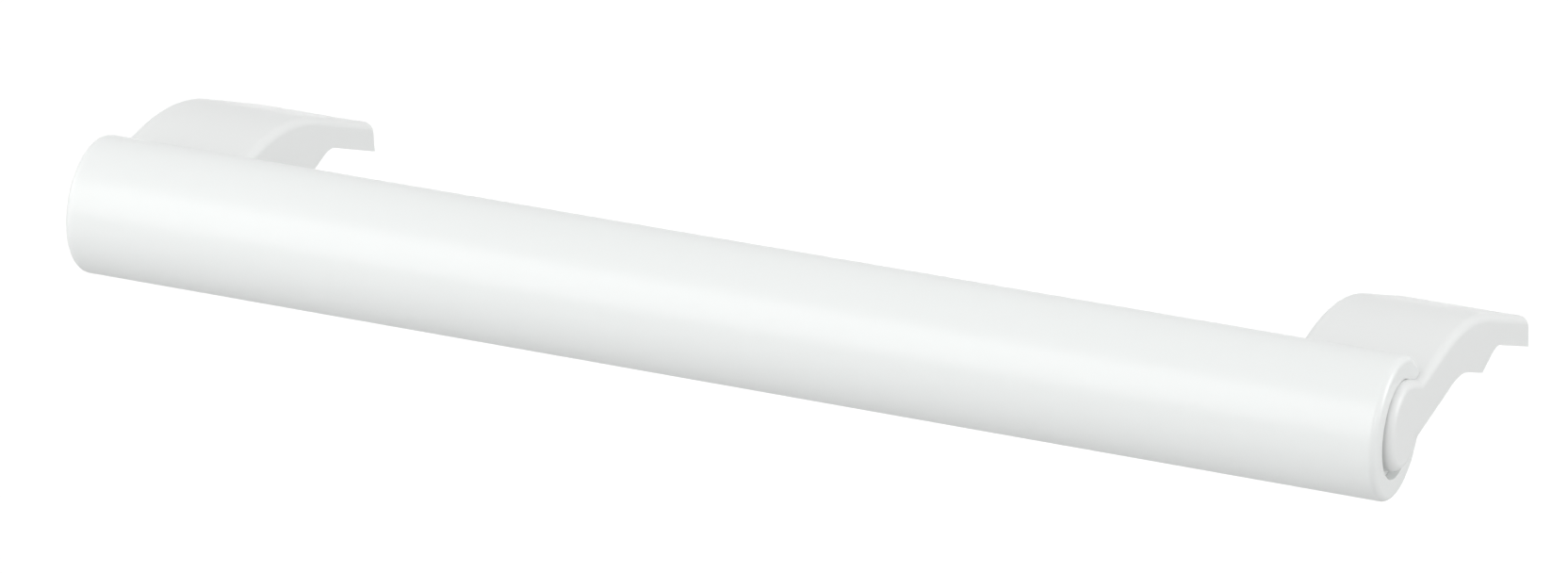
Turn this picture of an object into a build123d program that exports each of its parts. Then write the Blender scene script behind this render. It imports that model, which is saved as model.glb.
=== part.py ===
from build123d import *
import math
import os

# Refrigerator door handle: a round hollow grip bar carried by two mirror-image end brackets.
# Millimetres. X runs along the bar, Y goes into the door, Z is up. The origin lies midway
# between the two screw holes, on the underside of the lips, which rests on the door's edge.

# Grip bar
bar_length = 313.8
bar_diameter = 32.0
bar_wall = 5.0
bar_end_round = 1.6
bore_edge_round = 0.3

# Bracket, along the bar
bracket_width = 31.3
head_proud = 1.9  # the bracket's side stands this far out of the bar's end
edge_round = 2.0  # rounding of the arm's outer edges

# Arm, seen from the side
arm_slope = 29.4  # degrees above level
arm_thickness = 11.4
arm_lift = 0.6  # the arm's centreline passes this far above the bar's axis
crown_radius = 64.0  # long outer sweep from the arm into the lip
hollow_radius = 22.6  # sweep under the arm
root_radius = 4.0  # between the head's top and the arm

# Seat on the door's edge
door_standoff = 50.9  # bar's axis to the door's front face
seat_height = 19.6  # bar's axis up to the face that lies on the door's edge
step_depth = 6.4  # from that face down to the pad in front of the door
ramp_angle = 39.5  # degrees, bevel between pad and seat
ramp_radius = 9.0
pad_corner_radius = 0.6

# Lip
lip_reach = 35.6  # step's foot to the lip's tip
lip_thickness = 6.7
nose_tilt = 28.0  # degrees that the tip leans forward
nose_radius = 4.0

# Head and spigot inside the bar
head_radius = 10.0
head_ahead = 0.3  # the head's centre lies this far in front of the bar's axis
head_up = 0.85  # and this far above it, so the gap round the head opens downwards
head_depth = 2.9
spigot_clearance = 0.05
spigot_reach = 18.0  # how far the spigot goes on into the bar beyond the arm
spigot_wall = 3.4
spigot_end_wall = 8.5
spigot_chamfer = 1.0
notch_gap = 0.05  # between the bracket and the notch in the bar

# Screw hole through each lip
screw_hole_diameter = 4.8
screw_head_diameter = 9.0
screw_head_angle = 90.0  # degrees
screw_to_tip = 13.5

bar_radius = bar_diameter / 2
bore_radius = bar_radius - bar_wall
bar_end_x = bar_length / 2
outer_x = bar_end_x + head_proud
inner_x = outer_x - bracket_width
screw_x = outer_x - bracket_width / 2
head_top = head_up + head_radius
spigot_radius = bore_radius - spigot_clearance
spigot_end_x = inner_x - spigot_reach
tip_y = door_standoff + lip_reach
top_height = seat_height + lip_thickness

# The bar's axis in the handle's frame
axis_y = screw_to_tip - tip_y
axis_z = -seat_height

slope_sin = math.sin(math.radians(arm_slope))
slope_cos = math.cos(math.radians(arm_slope))
upper_offset = arm_lift + arm_thickness / 2
lower_offset = arm_lift - arm_thickness / 2


def on_slope(offset, height):
    # point at a height on the line that runs at the arm's slope, offset square to it
    return ((height * slope_cos - offset) / slope_sin, height)


def side_plane(x):
    # a side view of the handle, with its centre on the bar's axis
    return Plane(origin=(x, axis_y, axis_z), x_dir=(0, 1, 0), z_dir=(1, 0, 0))


def slope_foot(offset):
    # point on a line at the arm's slope that lies nearest to the bar's axis
    return (-offset * slope_sin, offset * slope_cos)


def lip_corners():
    # stepped underside and lip, from the arm's lower line round to its upper line
    pad_height = seat_height - step_depth
    ramp_run = step_depth / math.tan(math.radians(ramp_angle))
    nose_run = lip_thickness * math.tan(math.radians(nose_tilt))
    return [
        (on_slope(lower_offset, pad_height), hollow_radius),
        ((door_standoff, pad_height), pad_corner_radius),
        ((door_standoff + ramp_run, seat_height), ramp_radius),
        ((tip_y, seat_height), 0),
        ((tip_y - nose_run, top_height), nose_radius),
        (on_slope(upper_offset, top_height), crown_radius),
    ]


def rounded_face(corners):
    # closed outline from (point, corner radius) pairs
    points = [point for point, radius in corners]
    radii = [radius for point, radius in corners]
    return make_face(FilletPolyline(*points, radius=radii, close=True))


def arm_outline():
    # arm, stepped underside and lip, from inside the spigot to the lip's tip
    return rounded_face([(slope_foot(lower_offset), 0), *lip_corners(), (slope_foot(upper_offset), 0)])


def head_outline():
    # round head whose top runs level into a shelf that sweeps up into the arm
    shelf = rounded_face([
        (slope_foot(lower_offset), 0),
        *lip_corners(),
        (on_slope(upper_offset, head_top), root_radius),
        ((-head_ahead, head_top), 0),
    ])
    return Pos(-head_ahead, head_up) * Circle(head_radius) + shelf


def side_prism(outline, from_x, to_x):
    return extrude(side_plane(from_x) * outline, amount=to_x - from_x)


def is_outer(edge):
    # true for a side edge on the head, the arm's outer sweep or the lip's tip
    middle = edge @ 0.5
    across = middle.Y - axis_y
    height = middle.Z - axis_z
    above_arm = height * slope_cos - across * slope_sin > arm_lift
    on_head = math.hypot(across + head_ahead, height - head_up) < head_radius + 0.01
    return on_head or above_arm or height > seat_height + 0.01


def side_edges(solid, x):
    return [
        edge for edge in solid.edges()
        if abs((edge @ 0).X - x) < 0.001 and abs((edge @ 1).X - x) < 0.001 and abs((edge @ 0.5).X - x) < 0.001
    ]


def arm_with_head():
    body = side_prism(arm_outline(), inner_x, outer_x)
    body += side_prism(head_outline(), outer_x - head_depth, outer_x)
    body = body.clean()
    outer = [edge for edge in side_edges(body, outer_x) if is_outer(edge)]
    body = fillet(outer, edge_round)
    inner = [edge for edge in side_edges(body, inner_x) if is_outer(edge)]
    return fillet(inner, edge_round)


def spigot():
    # round plug that fits the bar's bore, cored from its inner end
    length = outer_x - head_depth - spigot_end_x
    place = Plane(origin=(spigot_end_x, axis_y, axis_z), x_dir=(0, 1, 0), z_dir=(1, 0, 0))
    plug = extrude(place * Circle(spigot_radius), amount=length)
    return chamfer(plug.edges().sort_by(Axis.X)[0], spigot_chamfer)


def spigot_core():
    place = Plane(origin=(spigot_end_x, axis_y, axis_z), x_dir=(0, 1, 0), z_dir=(1, 0, 0))
    return extrude(place * Circle(spigot_radius - spigot_wall), amount=outer_x - spigot_end_wall - spigot_end_x)


def screw_cut():
    # countersunk hole down through the lip
    head_radius_cut = screw_head_diameter / 2
    hole_radius = screw_hole_diameter / 2
    sink = (head_radius_cut - hole_radius) / math.tan(math.radians(screw_head_angle / 2))
    hole = Pos(screw_x, 0, 0) * Cylinder(hole_radius, 4 * lip_thickness)
    cone = Pos(screw_x, 0, lip_thickness) * Cone(
        hole_radius, head_radius_cut, sink, align=(Align.CENTER, Align.CENTER, Align.MAX)
    )
    return hole + cone


def bracket():
    body = arm_with_head() + spigot()
    return body - spigot_core() - screw_cut()


def notch():
    # clearance for the arm through the bar's upper rear wall, open at the bar's end
    arm_room = offset(arm_outline(), notch_gap, kind=Kind.INTERSECTION)
    head_room = offset(head_outline(), notch_gap, kind=Kind.INTERSECTION)
    cut = side_prism(arm_room, inner_x - notch_gap, outer_x)
    return cut + side_prism(head_room, outer_x - head_depth - notch_gap, outer_x)


def bar():
    place = Plane(origin=(-bar_end_x, axis_y, axis_z), x_dir=(0, 1, 0), z_dir=(1, 0, 0))
    tube = extrude(place * Circle(bar_radius), amount=bar_length)
    tube -= extrude(place * Circle(bore_radius), amount=bar_length)
    ends = tube.edges().filter_by(GeomType.CIRCLE)
    tube = fillet([edge for edge in ends if edge.radius > bore_radius + 0.01], bar_end_round)
    mouths = [
        edge for edge in tube.edges().filter_by(GeomType.CIRCLE)
        if abs(edge.radius - bore_radius) < 0.01
    ]
    tube = fillet(mouths, bore_edge_round)
    cut = notch()
    return tube - cut - mirror(cut, about=Plane.YZ)


right = bracket()
parts = {
    "grip_bar": bar(),
    "bracket_right": right,
    "bracket_left": mirror(right, about=Plane.YZ),
}

os.makedirs("parts", exist_ok=True)
for name, part in parts.items():
    export_step(part, f"parts/{name}.step")
    box = part.bounding_box()
    print(name, "volume", round(part.volume), "box", box.min, box.max)
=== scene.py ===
import bmesh
import bpy
import numpy as np
from mathutils import Matrix, Vector


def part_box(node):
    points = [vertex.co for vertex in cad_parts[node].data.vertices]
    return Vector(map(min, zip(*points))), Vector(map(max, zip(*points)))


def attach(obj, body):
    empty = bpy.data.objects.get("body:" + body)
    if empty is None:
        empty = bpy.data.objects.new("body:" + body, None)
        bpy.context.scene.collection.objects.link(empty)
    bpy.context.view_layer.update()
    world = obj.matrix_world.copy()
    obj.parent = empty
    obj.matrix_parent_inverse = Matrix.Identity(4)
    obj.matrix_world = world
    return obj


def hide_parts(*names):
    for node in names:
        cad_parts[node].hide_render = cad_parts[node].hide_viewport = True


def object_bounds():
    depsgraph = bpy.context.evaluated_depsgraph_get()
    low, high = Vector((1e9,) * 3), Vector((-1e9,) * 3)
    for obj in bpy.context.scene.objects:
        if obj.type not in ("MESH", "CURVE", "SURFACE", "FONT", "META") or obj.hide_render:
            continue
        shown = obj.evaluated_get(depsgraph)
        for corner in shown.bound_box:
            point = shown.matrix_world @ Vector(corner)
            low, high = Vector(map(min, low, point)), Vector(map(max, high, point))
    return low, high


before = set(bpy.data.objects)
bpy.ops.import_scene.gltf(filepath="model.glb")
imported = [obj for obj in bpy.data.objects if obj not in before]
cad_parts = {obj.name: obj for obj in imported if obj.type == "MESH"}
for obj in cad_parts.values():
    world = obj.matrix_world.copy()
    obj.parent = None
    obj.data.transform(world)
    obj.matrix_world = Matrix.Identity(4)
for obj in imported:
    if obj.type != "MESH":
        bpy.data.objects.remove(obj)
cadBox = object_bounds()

print("frame loaded:", sorted(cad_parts))
mm = 0.001
tiny = 0.01                  # millimetres, between places that count as one

# Sizes shared by the bar and the brackets, in millimetres. What the frame's boxes hold is rounded to 0.1 mm,
# because round faces are facets there. Side views have their zero on the bar's axis: y to the rear, z up.
barLow, barHigh = np.array(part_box("grip_bar")) / mm
bracketLow, bracketHigh = np.array(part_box("bracket_right")) / mm
barAxis = np.round((barLow + barHigh) / 2, 1)
barEnd = round(barHigh[0], 1)                                # half the bar's length
barRadius = round((barHigh[2] - barLow[2]) / 2, 1)
sideOut = round(bracketHigh[0], 1)                           # outer side of a bracket
spigotEnd = round(bracketLow[0], 1)
tipAt = round(bracketHigh[1], 1) - barAxis[1]
topHeight = round(bracketHigh[2], 1) - barAxis[2]
seatHeight = -barAxis[2]                                     # the frame's zero lies on the door's edge
screwAt = -barAxis[1]                                        # and on the line of the screw holes

armShape = {
    "width": 31.3,
    "slope": 29.4,           # degrees
    "upper": 6.3,            # upper line's distance from the bar's axis
    "lower": -5.1,           # lower line's distance
    "stepAt": 50.9,          # the door's front face
    "stepDepth": 6.4,        # from the seat down to the pad in front of the door
    "rampAngle": 39.5,
    "noseTilt": 28.0,
    "hollowRadius": 22.6,
    "padRadius": 0.6,
    "rampRadius": 9.0,
    "noseRadius": 4.0,
    "crownRadius": 64.0,
    "rootRadius": 4.0,
    "headRadius": 10.0,
    "headAhead": 0.55,       # the head's centre lies this far in front of the bar's axis
    "headUp": 0.78,          # and this far above it
    "shelfTop": 10.93,       # level shelf between the head and the arm
    "headDepth": 4.2,        # from the bracket's outer side in to the back of the recess
    "edgeRound": 2.0,        # outer edges
    "boreRadius": 11.0,      # of the bar
    "spigotRadius": 10.98,
    "spigotChamfer": 1.0,
    "coreRadius": 7.55,
    "coreFloor": 8.5,        # from the outer side in to the floor of the spigot's core
    "screwHole": 2.4,
    "screwHead": 4.5,
}
slope = np.radians(armShape["slope"])
sideIn = sideOut - armShape["width"]                         # inner side of a bracket
screwX = sideOut - armShape["width"] / 2
padHeight = seatHeight - armShape["stepDepth"]


def crossingAngle(distance, radius):
    # angle at which a line at the arm's slope, that far off the axis, meets a circle about the axis:
    # slope + arcsine of distance / radius
    return slope + np.arcsin(distance / radius)


def onSlope(distance, height):
    # point at that height on a line at the arm's slope, that far off the axis
    return np.array([(height * np.cos(slope) - distance) / np.sin(slope), height])


def arc(centre, radius, angles):
    # y = centre + radius cos(angle), z = centre + radius sin(angle)
    return np.asarray(centre) + radius * np.c_[np.cos(angles), np.sin(angles)]


def acrossTo(start, stop, count):
    # points between two others, evenly along the straight line, without its ends
    return start + (stop - start) * np.linspace(0, 1, count + 2)[1:-1, None]


def alongX(places, section):
    # a side view repeated at each place along x, or one side view for each place
    lines = np.broadcast_to(section, (len(places), *section.shape[-2:]))
    return np.concatenate([np.repeat(places[:, None, None], lines.shape[1], 1), lines], 2)


def roundedLine(corners, arcStep=3.0, straightStep=2.5):
    # Walks an open outline: each corner (y, z, radius) becomes an arc in steps of arcStep degrees, whose
    # centre lies on the corner's bisector at radius / sin(half the corner's angle), and each straight run
    # is divided evenly, about every straightStep.
    corners = np.array(corners, float)
    points, radii = corners[:, :2], corners[:, 2]
    back = np.roll(points, 1, 0) - points
    ahead = np.roll(points, -1, 0) - points
    back /= np.linalg.norm(back, axis=1)[:, None]
    ahead /= np.linalg.norm(ahead, axis=1)[:, None]
    half = np.arccos(np.clip((back * ahead).sum(1), -1, 1)) / 2
    reach = (radii / np.tan(half))[:, None]
    start, stop = points + back * reach, points + ahead * reach
    line = []
    for i, radius in enumerate(radii):
        if radius > 0:
            bisector = (back[i] + ahead[i]) / np.linalg.norm(back[i] + ahead[i])
            centre = points[i] + bisector * radius / np.sin(half[i])
            first, last = (np.arctan2(*(end[i] - centre)[::-1]) for end in (start, stop))
            turn = np.angle(np.exp(1j * (last - first)))
            count = max(3, int(np.ceil(abs(np.degrees(turn)) / arcStep)) + 1)
            line.append(arc(centre, radius, first + turn * np.linspace(0, 1, count)))
        else:
            line.append(points[i:i + 1])
        if i + 1 < len(points):
            run = np.linalg.norm(start[i + 1] - stop[i])
            line.append(acrossTo(stop[i], start[i + 1], int(run // straightStep)))
    return np.concatenate(line)


def gridFaces(rows, columns, first=0, closed=False, keep=None):
    # quads of a grid stored row by row, between each point, its right neighbour and the two in the next
    # row; closed joins the last column to the first, and keep picks the quads that are made
    row = np.arange(rows - 1)[:, None] * columns
    column = np.arange(columns if closed else columns - 1)[None]
    right = (column + 1) % columns
    quads = np.stack([row + column, row + right, row + columns + right, row + columns + column], -1) + first
    if keep is not None:
        quads = quads[keep]
    return quads.reshape(-1, 4).tolist()


meshFinish = {
    "mergeWithin": 2e-6,     # metres
    "sliver": 1e-7,
    "crease": 32,            # degrees above which an edge is shaded sharp
    "bevelFrom": 40,         # degrees above which it is rounded a little
    "segments": 2,
    "flatWeight": 80,        # how strongly large flat faces hold their shading
}


def newPiece(name, points, faces, material, softening):
    # A mesh from points in millimetres about the bar's axis: merges what coincides, points the faces
    # outwards, then a small even rounding of what is sharp and normals weighted by the faces' areas.
    mesh = bpy.data.meshes.new(name)
    mesh.from_pydata(((points + barAxis) * mm).tolist(), [], faces)
    build = bmesh.new()
    build.from_mesh(mesh)
    bmesh.ops.remove_doubles(build, verts=build.verts, dist=meshFinish["mergeWithin"])
    bmesh.ops.dissolve_degenerate(build, dist=meshFinish["sliver"], edges=build.edges)
    bmesh.ops.recalc_face_normals(build, faces=build.faces)
    openEdges = sum(len(edge.link_faces) != 2 for edge in build.edges)
    build.to_mesh(mesh)
    build.free()
    mesh.shade_smooth()
    mesh.set_sharp_from_angle(angle=np.radians(meshFinish["crease"]))
    piece = bpy.data.objects.new(name, mesh)
    bpy.context.scene.collection.objects.link(piece)
    piece.data.materials.append(material)

    bevel = piece.modifiers.new("edges", "BEVEL")
    bevel.width, bevel.segments = softening * mm, meshFinish["segments"]
    bevel.limit_method, bevel.angle_limit = "ANGLE", np.radians(meshFinish["bevelFrom"])
    shading = piece.modifiers.new("normals", "WEIGHTED_NORMAL")
    shading.weight = meshFinish["flatWeight"]
    print(f"{name}: {len(mesh.vertices)} vertices, {len(mesh.polygons)} faces, {openEdges} open edges")
    return piece


# Moulded white plastic. The tint drifts along the flow, and a ripple's height is in metres.
barPlastic = {
    "tint": (0.782, 0.80, 0.793),
    "shade": 0.985,
    "roughness": 0.34,
    "coat": 0.15,
    "ripple": 0.00002,
    "flow": (0.35, 1.0, 1.0),
}
bracketPlastic = {
    "tint": (0.76, 0.772, 0.766),
    "shade": 0.98,
    "roughness": 0.40,
    "coat": 0.06,
    "ripple": 0.000025,
    "flow": (1.0, 0.5, 1.0),
}
plasticSkin = {
    "flowNoise": (14.0, 3),  # scale and detail
    "tintBand": (0.3, 0.7),  # share of the noise over which the tint drifts
    "cloudNoise": (90.0, 4),
    "cloudSpread": 0.03,     # how far the roughness wanders to either side
    "grainNoise": (900.0, 2),
    "grainStrength": 0.35,
    "waveNoise": (60.0, 1),
    "waveStrength": 0.5,
    "waveHeight": 3,         # in ripples
    "ior": 1.52,
    "coatRoughness": 0.18,
    "scatter": 0.3,
    "scatterReach": 0.002,
}


def noisePattern(tree, place, scale, detail):
    # cloudy noise read at that place on the piece
    noise = tree.nodes.new("ShaderNodeTexNoise")
    noise.inputs["Scale"].default_value = scale
    noise.inputs["Detail"].default_value = detail
    tree.links.new(place, noise.inputs["Vector"])
    return noise.outputs["Fac"]


def mouldedPlastic(name, look):
    # base colour = tint from shaded to full along the flow's noise, roughness = its value plus or minus
    # the clouds, normal = a fine grain with slow waves laid over it
    skin = plasticSkin
    material = bpy.data.materials.new(name)
    material.use_nodes = True
    tree = material.node_tree
    nodes, link = tree.nodes, tree.links.new
    shader = nodes["Principled BSDF"]
    place = nodes.new("ShaderNodeTexCoord").outputs["Object"]
    stretch = nodes.new("ShaderNodeMapping")
    stretch.inputs["Scale"].default_value = look["flow"]
    link(place, stretch.inputs["Vector"])
    alongFlow = stretch.outputs["Vector"]

    tint = nodes.new("ShaderNodeValToRGB")
    shaded, full = tint.color_ramp.elements
    shaded.position, full.position = skin["tintBand"]
    shaded.color = (*[channel * look["shade"] for channel in look["tint"]], 1)
    full.color = (*look["tint"], 1)
    link(noisePattern(tree, alongFlow, *skin["flowNoise"]), tint.inputs["Fac"])
    link(tint.outputs["Color"], shader.inputs["Base Color"])

    gloss = nodes.new("ShaderNodeMapRange")
    gloss.inputs["To Min"].default_value = look["roughness"] - skin["cloudSpread"]
    gloss.inputs["To Max"].default_value = look["roughness"] + skin["cloudSpread"]
    link(noisePattern(tree, place, *skin["cloudNoise"]), gloss.inputs["Value"])
    link(gloss.outputs["Result"], shader.inputs["Roughness"])

    grain = nodes.new("ShaderNodeBump")
    grain.inputs["Strength"].default_value = skin["grainStrength"]
    grain.inputs["Distance"].default_value = look["ripple"]
    link(noisePattern(tree, place, *skin["grainNoise"]), grain.inputs["Height"])
    waves = nodes.new("ShaderNodeBump")
    waves.inputs["Strength"].default_value = skin["waveStrength"]
    waves.inputs["Distance"].default_value = look["ripple"] * skin["waveHeight"]
    link(noisePattern(tree, alongFlow, *skin["waveNoise"]), waves.inputs["Height"])
    link(grain.outputs["Normal"], waves.inputs["Normal"])
    link(waves.outputs["Normal"], shader.inputs["Normal"])

    shader.inputs["IOR"].default_value = skin["ior"]
    shader.inputs["Coat Weight"].default_value = look["coat"]
    shader.inputs["Coat Roughness"].default_value = skin["coatRoughness"]
    shader.inputs["Subsurface Weight"].default_value = skin["scatter"]
    shader.inputs["Subsurface Radius"].default_value = (skin["scatterReach"],) * 3
    shader.inputs["Subsurface Scale"].default_value = 1
    return material


barMaterial = mouldedPlastic("barPlastic", barPlastic)
bracketMaterial = mouldedPlastic("bracketPlastic", bracketPlastic)
print("plastics ready")


gripBar = {
    "columns": 150,          # round the open part of the section
    "notchColumns": 18,      # across the notch
    "stations": 36,          # along the middle
    "plainStations": 8,      # from the notch's inner end to the rounded end
    "roundStations": 11,     # over the rounded end
    "lowerSteps": 4,         # points across the notch's lower face
    "upperSteps": 8,         # and across its upper face
    "endRound": 1.6,
    "mouthRound": 0.12,
    "gap": 0.02,             # between a bracket and the notch
    "edgeSoftening": 0.1,
}
notchUpper = armShape["upper"] + gripBar["gap"]
notchLower = armShape["lower"] - gripBar["gap"]


def barSection(outside, inside, aroundHead):
    # The notched tube as one closed loop: the outer arc from the notch's upper line round to its lower
    # line, the lower face straight across, the inner arc back, and the upper face. That is straight too,
    # but beside the head it runs level to a root arc, which turns up into the slope.
    bar = gripBar
    outerArc = arc((0, 0), outside, np.linspace(
        crossingAngle(notchUpper, outside), crossingAngle(notchLower, outside) + 2 * np.pi, bar["columns"]))
    shelf = armShape["shelfTop"] + bar["gap"]
    innerStop = np.arcsin(shelf / inside) if aroundHead else crossingAngle(notchUpper, inside)
    innerArc = arc((0, 0), inside, np.linspace(
        crossingAngle(notchLower, inside) + 2 * np.pi, innerStop, bar["columns"]))
    lowerFace = acrossTo(outerArc[-1], innerArc[0], bar["lowerSteps"])
    if aroundHead:
        knee = onSlope(notchUpper, shelf)
        rootRadius = armShape["rootRadius"] - bar["gap"]
        reach = rootRadius * np.tan(slope / 2)
        turn = slope * np.linspace(0, 1, bar["upperSteps"] - 1) - np.pi / 2
        upperFace = np.concatenate([
            acrossTo(innerArc[-1], knee - [reach, 0], 1),
            arc(knee + [-reach, rootRadius], rootRadius, turn),
        ])
    else:
        upperFace = acrossTo(innerArc[-1], outerArc[0], bar["upperSteps"])
    return np.concatenate([outerArc, lowerFace, innerArc, upperFace])


def barEndFaces(first):
    # the flat end between the last section's arcs as quads, and one face over each side of the notch
    columns, lower, upper = gripBar["columns"], gripBar["lowerSteps"], gripBar["upperSteps"]
    outer = first + np.arange(columns)
    lowerFace = first + columns + np.arange(lower)
    inner = first + columns + lower + np.arange(columns)[::-1]
    upperFace = first + 2 * columns + lower + np.arange(upper)
    ring = np.stack([outer[:-1], outer[1:], inner[1:], inner[:-1]], -1)
    return [
        *ring.tolist(),
        np.r_[outer[-1], lowerFace, inner[-1]].tolist(),
        np.r_[inner[0], upperFace, outer[0]].tolist(),
    ]


def makeGripBar():
    # A tube y = R cos(a), z = R sin(a) carried along x. Near an end, u grows from 0 to 1 over a rounding,
    # and R changes by rounding * (1 - sqrt(1 - u squared)): the outside shrinks and the bore widens.
    bar, boreRadius = gripBar, armShape["boreRadius"]
    notchX = sideIn - bar["gap"]
    stepX = sideOut - armShape["headDepth"] - bar["gap"]     # here the notch widens to the head's shelf
    quarter = np.radians(np.linspace(0, 90, bar["roundStations"]))
    roundX = barEnd - bar["endRound"] * (1 - np.sin(quarter))
    plainX = np.concatenate([np.linspace(notchX, roundX[0], bar["plainStations"])[:-1], roundX])
    before, after = plainX[plainX < stepX - tiny], plainX[plainX > stepX + tiny]
    endX = np.concatenate([before, [stepX, stepX], after])
    aroundHead = np.arange(len(endX)) > len(before)

    def rounding(size):
        u = np.clip((endX - barEnd) / size + 1, 0, 1)
        return size * (1 - np.sqrt(1 - u ** 2))

    outsides = barRadius - rounding(bar["endRound"])
    insides = boreRadius + rounding(bar["mouthRound"])
    end = alongX(endX, np.stack([barSection(*station) for station in zip(outsides, insides, aroundHead)]))
    rows, columns = end.shape[:2]
    points, faces, first = [], [], 0
    for sign in (1, -1):
        points.append((end * [sign, 1, 1]).reshape(-1, 3))
        faces += gridFaces(rows, columns, first, closed=True)
        faces += barEndFaces(first + (rows - 1) * columns)
        first += rows * columns

    # between the notches: both arcs of the section, and the arcs that close it over the notch's width
    middleX = np.linspace(-notchX, notchX, bar["stations"])
    section = barSection(barRadius, boreRadius, False)
    cuts = np.cumsum([bar["columns"], bar["lowerSteps"], bar["columns"]])
    outerArc, lowerFace, innerArc, upperFace = np.split(section, cuts)
    outerNotch = arc((0, 0), barRadius, np.linspace(
        crossingAngle(notchLower, barRadius), crossingAngle(notchUpper, barRadius), bar["notchColumns"]))
    innerNotch = arc((0, 0), boreRadius, np.linspace(
        crossingAngle(notchUpper, boreRadius), crossingAngle(notchLower, boreRadius), bar["notchColumns"]))
    for strip in (outerArc, innerArc, outerNotch, innerNotch):
        points.append(alongX(middleX, strip).reshape(-1, 3))
        faces += gridFaces(len(middleX), len(strip), first)
        first += len(middleX) * len(strip)

    # wall at each notch's inner end
    wall = np.concatenate([outerNotch, upperFace[::-1], innerNotch, lowerFace[::-1]])
    for sign in (1, -1):
        points.append(np.c_[np.full(len(wall), sign * notchX), wall])
        faces.append(list(range(first, first + len(wall))))
        first += len(wall)
    piece = newPiece("gripBar", np.concatenate(points), faces, barMaterial, bar["edgeSoftening"])
    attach(piece, "root")
    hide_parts("grip_bar")


makeGripBar()
print("grip bar done")


bracketSurface = {
    "roundSteps": 8,         # across each rounded edge
    "rootSteps": 7,          # round the root between shelf and arm
    "headSteps": 89,         # round the head
    "underSteps": 13,        # round the spigot inside the arm
    "patch": 5.8,            # half the square round the screw hole
    "patchSteps": 10,        # divisions along its side
    "toPatchSteps": 2,       # sections between the inner rounding and the patch
    "topRings": (0, 0.35, 0.7, 1),   # shares of the way from the square to the countersink
    "seatRings": (0.4, 1),           # and from the hole to the square below
    "shadeRings": (9.0, 20.0),       # rings from the sides on the spigot's outside and in its core
    "edgeSoftening": 0.14,   # what the rounding leaves sharp
}


def bracketOutline():
    # The side view at the outer end, counter-clockwise from where the arm's lower line leaves the head:
    # hollow, pad, ramp, seat, tip, nose, top, crown sweep and slope line, then root arc, shelf and head.
    arm = armShape
    headRadius, shelfTop, rootRadius = arm["headRadius"], arm["shelfTop"], arm["rootRadius"]
    headCentre = np.array([-arm["headAhead"], arm["headUp"]])
    rampRun = arm["stepDepth"] / np.tan(np.radians(arm["rampAngle"]))
    noseRun = (topHeight - seatHeight) * np.tan(np.radians(arm["noseTilt"]))
    knee = onSlope(arm["upper"], shelfTop)
    reach = rootRadius * np.tan(slope / 2)
    lowerFromHead = arm["lower"] - arm["headUp"] * np.cos(slope) - arm["headAhead"] * np.sin(slope)
    headStart = crossingAngle(lowerFromHead, headRadius)
    armLine = roundedLine([
        (*arc(headCentre, headRadius, headStart)[0], 0),
        (*onSlope(arm["lower"], padHeight), arm["hollowRadius"]),
        (arm["stepAt"], padHeight, arm["padRadius"]),
        (arm["stepAt"] + rampRun, seatHeight, arm["rampRadius"]),
        (tipAt, seatHeight, 0),
        (tipAt - noseRun, topHeight, arm["noseRadius"]),
        (*onSlope(arm["upper"], topHeight), arm["crownRadius"]),
        (*(knee + reach * np.array([np.cos(slope), np.sin(slope)])), 0),
    ])

    turn = slope * np.linspace(1, 0, bracketSurface["rootSteps"] + 1)[1:] - np.pi / 2
    root = arc(knee + [-reach, rootRadius], rootRadius, turn)
    spigotY = np.sqrt(arm["spigotRadius"] ** 2 - shelfTop ** 2)    # where the spigot meets the shelf
    shelf = np.array([[spigotY, shelfTop], [(spigotY + headCentre[0]) / 2, shelfTop]])
    headAngles = np.linspace(np.pi / 2, 2 * np.pi + headStart, bracketSurface["headSteps"] + 1)[:-1]
    return armLine, np.concatenate([root, shelf, arc(headCentre, headRadius, headAngles)])


def spigotArc(upper, count):
    # angles of the head's points when they lie on the spigot: from the arm's upper line to the shelf, one
    # for each root point, then evenly round to the lower line
    radius, roots = armShape["spigotRadius"], bracketSurface["rootSteps"]
    shelfAngle = np.arcsin(armShape["shelfTop"] / radius)
    toShelf = np.linspace(crossingAngle(upper, radius), shelfAngle, roots + 1)
    lowerAngle = crossingAngle(armShape["lower"], radius) + 2 * np.pi
    return np.r_[toShelf, np.linspace(shelfAngle, lowerAngle, count - roots + 1)[1:-1]]


def divideLevel(line, height, ticks):
    # replaces the points of a level run with the screw patch's own ticks, and tells where the first lies
    near = 0.4               # points this close to the patch go too
    inside = np.abs(line[:, 1] - height) < tiny
    inside &= (line[:, 0] > ticks.min() - near) & (line[:, 0] < ticks.max() + near)
    at = int(np.argmax(inside))
    kept = line[~inside]
    return np.concatenate([kept[:at], np.c_[ticks, np.full(len(ticks), height)], kept[at:]]), at


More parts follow.
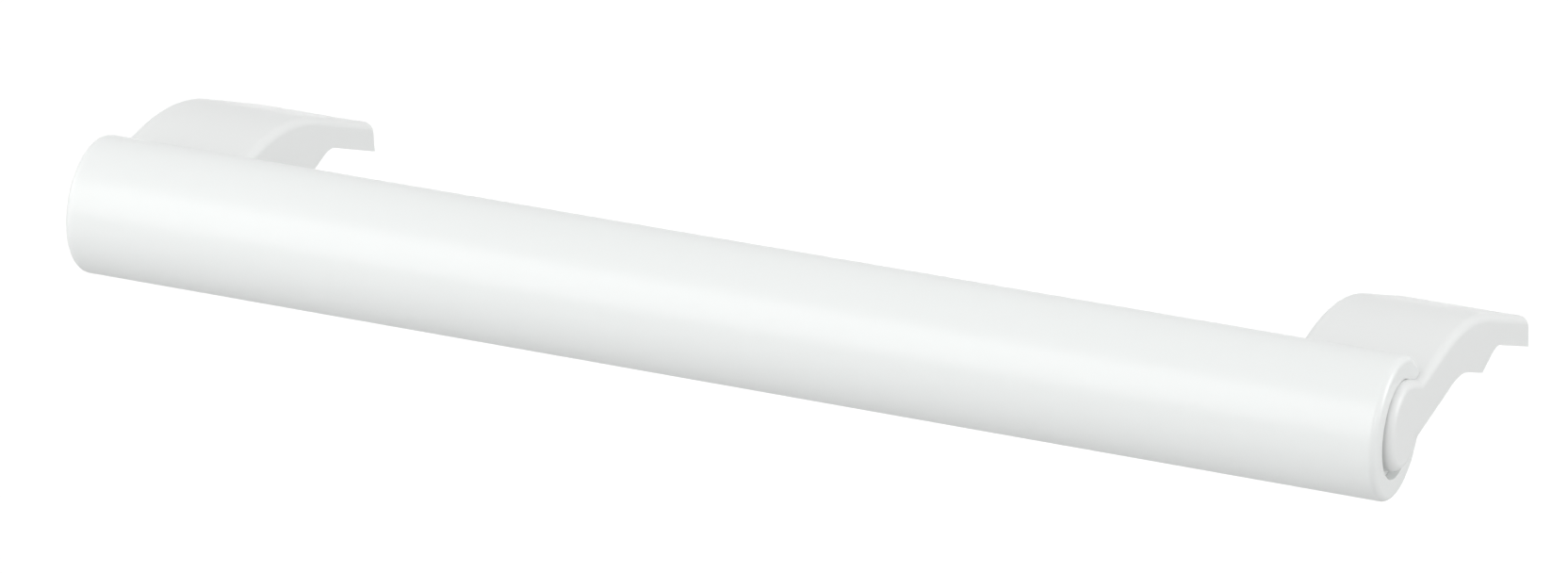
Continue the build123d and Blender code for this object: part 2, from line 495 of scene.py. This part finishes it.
def insetLine(line, inset):
    # Moves a closed outline inwards: each corner goes along its mitre, so that the sides before and after
    # it both recede by their own inset. Where the two sides are nearly in line, it goes along their mean
    # normal by the mean inset.
    gentleTurn = 0.3         # sine of the angle between two sides
    side = np.roll(line, -1, 0) - line
    side /= np.linalg.norm(side, axis=1)[:, None]
    normal = np.c_[side[:, 1], -side[:, 0]]
    lastNormal, lastInset = np.roll(normal, 1, 0), np.roll(inset, 1)
    cross = lastNormal[:, 0] * normal[:, 1] - lastNormal[:, 1] * normal[:, 0]
    inLine = np.abs(cross) < gentleTurn
    mitre = inset[:, None] * np.c_[lastNormal[:, 1], -lastNormal[:, 0]]
    mitre -= lastInset[:, None] * np.c_[normal[:, 1], -normal[:, 0]]
    mitre /= np.where(inLine, 1, cross)[:, None]
    mean = lastNormal + normal
    mean /= np.linalg.norm(mean, axis=1)[:, None]
    gentle = -mean * ((lastInset + inset) / 2 / np.clip((mean * lastNormal).sum(1), 0.5, 1))[:, None]
    return line + np.where(inLine[:, None], gentle, mitre)


def spigotRings(angles):
    # y = R cos(a), z = R sin(a) at each x of the profile: outside, chamfer, core and the core's floor
    arm = armShape
    outside, core, floorX = arm["spigotRadius"], arm["coreRadius"], sideOut - arm["coreFloor"]
    outerRing, coreRing = bracketSurface["shadeRings"]
    profile = (
        (sideIn, outside),
        (sideIn - outerRing, outside),
        (spigotEnd + arm["spigotChamfer"], outside),
        (spigotEnd, outside - arm["spigotChamfer"]),
        (spigotEnd, core),
        (spigotEnd + coreRing, core),
        (floorX, core),
        (floorX, core / 2),
    )
    return np.stack([np.c_[np.full(len(angles), x), arc((0, 0), radius, angles)] for x, radius in profile])


def screwHoleRings():
    # Rings about the hole's axis, each square * (1 - share) + circle * share: the square patch to the
    # countersink, the cone, the hole, and the seat's patch back to its square.
    arm, surface = armShape, bracketSurface
    steps = surface["patchSteps"]
    side = np.linspace(-1, 1, steps + 1)[:-1]
    one = np.ones(steps)
    square = np.concatenate([np.c_[side, -one], np.c_[one, side], np.c_[-side, one], np.c_[-one, -side]])
    circle = square / np.linalg.norm(square, axis=1)[:, None]
    square = square * surface["patch"]
    coneFoot = topHeight - (arm["screwHead"] - arm["screwHole"])
    sink, hole = circle * arm["screwHead"], circle * arm["screwHole"]
    rings = [(square * (1 - share) + sink * share, topHeight) for share in surface["topRings"]]
    rings += [(hole, coneFoot), (hole, seatHeight)]
    rings += [(square * share + hole * (1 - share), seatHeight) for share in surface["seatRings"]]
    return np.stack([np.c_[ring + [screwX, screwAt], np.full(len(ring), height)] for ring, height in rings])


def makeBracket(name, node, sign):
    # A section carried along x. Towards a side it is inset by rounding * (1 - sin(t)) while x moves by
    # rounding * (1 - cos(t)), which gives the outer edges a quarter round. Inboard of the head the round
    # part of the section widens to the spigot, which runs on alone to its chamfered, cored end.
    arm, surface = armShape, bracketSurface
    steps, edgeRound, radius = surface["patchSteps"], arm["edgeRound"], arm["spigotRadius"]
    armLine, headLine = bracketOutline()
    patch = np.linspace(-surface["patch"], surface["patch"], steps + 1)
    armLine, seatPatch = divideLevel(armLine, seatHeight, screwAt + patch)
    armLine, topPatch = divideLevel(armLine, topHeight, screwAt - patch)
    outline = np.concatenate([armLine, headLine])
    count, armCount = len(outline), len(armLine)

    # the hollow and the underside keep sharp edges, all other sides are rounded
    middles = (outline + np.roll(outline, -1, 0)) / 2
    centreline = (arm["upper"] + arm["lower"]) / 2
    aboveArm = middles[:, 1] * np.cos(slope) - middles[:, 0] * np.sin(slope) > centreline
    fromHead = np.hypot(middles[:, 0] + arm["headAhead"], middles[:, 1] - arm["headUp"])
    isRounded = aboveArm | (fromHead < arm["headRadius"] + tiny) | (middles[:, 1] > seatHeight + tiny)
    fullInset = np.where(isRounded, edgeRound, 0.0)

    def spigotSection(share):
        # the arm inset by a share of the rounding, the round part on the spigot's circle
        line = insetLine(outline, fullInset * share)
        line[armCount:] = arc((0, 0), radius, spigotArc(arm["upper"] - edgeRound * share, count - armCount))
        line[0] = arc((0, 0), radius, crossingAngle(arm["lower"], radius))[0]
        return line

    quarter = np.radians(np.linspace(0, 90, surface["roundSteps"] + 1))
    shares = 1 - np.sin(quarter)
    sideways = edgeRound * (1 - np.cos(quarter))
    innerX, outerX = sideIn + sideways, sideOut - sideways[::-1]
    patchX = screwX + patch
    toPatch = np.linspace(innerX[-1], patchX[0], surface["toPatchSteps"] + 2)[1:-1]
    headBack = np.array([sideOut - arm["headDepth"]])
    spigotX = np.concatenate([innerX, toPatch, patchX, headBack])
    places = np.concatenate([spigotX, headBack, outerX])
    sections = [spigotSection(share) for share in shares] + [spigotSection(0)] * (len(spigotX) - len(shares))
    sections += [outline] + [insetLine(outline, fullInset * share) for share in shares[::-1]]
    keep = np.ones((len(places) - 1, count), bool)           # all but the two patches of the screw hole
    patchRow = len(innerX) + len(toPatch)
    for patchColumn in (seatPatch, topPatch):
        keep[patchRow:patchRow + steps, patchColumn:patchColumn + steps] = False
    body = alongX(places, np.stack(sections)).reshape(-1, 3)
    first = len(body)
    faces = gridFaces(len(places), count, 0, closed=True, keep=keep)
    faces.append(list(range(first - count, first)))          # outer side

    # the spigot's first ring shares its points with the inner side, apart from those inside the arm
    upper = arm["upper"] - edgeRound
    under = np.linspace(
        crossingAngle(arm["lower"], radius), crossingAngle(upper, radius), surface["underSteps"] + 1)[:-1]
    spigot = spigotRings(np.r_[under, spigotArc(upper, count - armCount)])
    rings, around = spigot.shape[:2]
    faces += gridFaces(rings, around, first, closed=True)
    faces.append(list(range(first + (rings - 1) * around, first + rings * around)))          # core's floor
    faces.append([*range(armCount + 1), *range(first + len(under) - 1, first, -1)])          # inner side
    first += rings * around

    hole = screwHoleRings()
    faces += gridFaces(*hole.shape[:2], first, closed=True)
    points = np.concatenate([body, spigot.reshape(-1, 3), hole.reshape(-1, 3)]) * [sign, 1, 1]
    piece = newPiece(name, points, faces, bracketMaterial, surface["edgeSoftening"])
    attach(piece, "root")
    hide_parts(node)


makeBracket("bracketRight", "bracket_right", 1)
makeBracket("bracketLeft", "bracket_left", -1)
print("brackets done")


# Lengths here and below are in metres.
floorDish = {
    "drop": 1.28,            # the floor lies this far below the handle
    "radius": 4.16,
    "bend": 1.44,            # radius of the sweep from the floor into the wall
    "wallRise": 2.4,
    "innerRing": 0.02,
    "flatRings": 14,
    "bendRings": 24,
    "turnSteps": 96,
    "colour": (0.69, 0.69, 0.69),
    "shade": 0.99,
    "patchNoise": (1.5, 2),
    "roughness": 0.9,
    "specular": 0.1,
}


def makeFloor():
    # A dish: a flat disc, a quarter circle up, r = radius + bend sin(a), z = bend (1 - cos(a)), and a wall,
    # all turned about the vertical.
    dish = floorDish
    bendAngle = np.radians(np.linspace(0, 90, dish["bendRings"] + 1))[1:]
    flat = np.linspace(dish["innerRing"], dish["radius"], dish["flatRings"])
    wallRadius = dish["radius"] + dish["bend"]
    radius = np.concatenate([flat, dish["radius"] + dish["bend"] * np.sin(bendAngle), [wallRadius]])
    height = np.concatenate([0 * flat, dish["bend"] * (1 - np.cos(bendAngle)), [dish["wallRise"]]])
    turn = np.linspace(0, 2 * np.pi, dish["turnSteps"], endpoint=False)
    points = np.stack(np.broadcast_arrays(
        radius[:, None] * np.cos(turn), radius[:, None] * np.sin(turn), height[:, None]), -1).reshape(-1, 3)
    points = points + [0, 0, cadBox[0][2] - dish["drop"]]
    faces = gridFaces(len(radius), len(turn), 0, closed=True) + [list(range(len(turn)))]
    mesh = bpy.data.meshes.new("floor")
    mesh.from_pydata(points.tolist(), [], faces)
    mesh.shade_smooth()
    floor = bpy.data.objects.new("floor", mesh)
    bpy.context.scene.collection.objects.link(floor)

    # pale paint, a shade darker in large soft patches
    material = bpy.data.materials.new("paleFloor")
    material.use_nodes = True
    mesh.materials.append(material)
    tree = material.node_tree
    shader = tree.nodes["Principled BSDF"]
    place = tree.nodes.new("ShaderNodeTexCoord").outputs["Object"]
    paint = tree.nodes.new("ShaderNodeValToRGB")
    shaded, full = paint.color_ramp.elements
    shaded.color = (*[channel * dish["shade"] for channel in dish["colour"]], 1)
    full.color = (*dish["colour"], 1)
    tree.links.new(noisePattern(tree, place, *dish["patchNoise"]), paint.inputs["Fac"])
    tree.links.new(paint.outputs["Color"], shader.inputs["Base Color"])
    shader.inputs["Roughness"].default_value = dish["roughness"]
    shader.inputs["Specular IOR Level"].default_value = dish["specular"]


def softBox(name, place, aim, size, power, spread=np.pi):
    # a rectangular lamp at that place, turned towards its aim; it lights, but isn't seen itself
    lamp = bpy.data.lights.new(name, "AREA")
    lamp.shape = "RECTANGLE"
    lamp.size, lamp.size_y = size
    lamp.energy, lamp.spread = power, spread
    holder = bpy.data.objects.new(name, lamp)
    holder.location = place
    holder.rotation_euler = (Vector(aim) - Vector(place)).to_track_quat("-Z", "Y").to_euler()
    holder.visible_camera = False
    bpy.context.scene.collection.objects.link(holder)


makeFloor()
scene = bpy.context.scene
scene.view_settings.view_transform = "Standard"
roomLight = 0.762
room = bpy.data.worlds.new("studioAir")
room.use_nodes = True
room.node_tree.nodes["Background"].inputs["Color"].default_value = (1, 1, 1, 1)
room.node_tree.nodes["Background"].inputs["Strength"].default_value = roomLight
scene.world = room

middle = (0, -0.06, -0.02)
lightRig = {
    "panel": {"place": (-0.75, -2.05, 0.27), "aim": (-0.1, -0.07, 0.12), "size": (1.7, 1.94), "power": 19.4},
    "frontRight": {"place": (1.5, -1.6, 0.35), "aim": middle, "size": (1.0, 1.0), "power": 6.2},
    "left": {"place": (-2.3, -0.9, 0.5), "aim": middle, "size": (1.0, 1.0), "power": 9.8},
    "lowLeft": {"place": (-1.5, -1.3, -1.0), "aim": (-0.1, -0.07, -0.02), "size": (0.8, 0.8), "power": 2.45},
    "right": {"place": (2.2, 0.5, 1.0), "aim": middle, "size": (1.2, 1.2), "power": 20.8},
    "backdrop": {
        "place": (-2.0, 4.4, 1.52), "aim": (-2.05, 5.44, -0.56), "size": (2.72, 0.48), "power": 29.5,
        "spread": 1.9,
    },
}
for lampName, settings in lightRig.items():
    softBox(lampName, **settings)

view = {
    "eye": (0.65238, -1.76338, 0.05375),
    "forward": (-0.35392, 0.93457, -0.03622),
    "up": (-0.15863, -0.02182, 0.98710),
    "lens": 187.87,          # millimetres, on a frame 36 wide
    "frameWidth": 36,
    "clip": (0.05, 30),
}
cameraData = bpy.data.cameras.new("camera")
cameraData.lens, cameraData.sensor_width = view["lens"], view["frameWidth"]
cameraData.clip_start, cameraData.clip_end = view["clip"]
camera = bpy.data.objects.new("camera", cameraData)
scene.collection.objects.link(camera)
forward = Vector(view["forward"]).normalized()
right = forward.cross(Vector(view["up"])).normalized()
turned = Matrix((right, right.cross(forward), -forward)).transposed().to_4x4()
camera.matrix_world = Matrix.Translation(view["eye"]) @ turned
scene.camera = camera
print("studio ready")
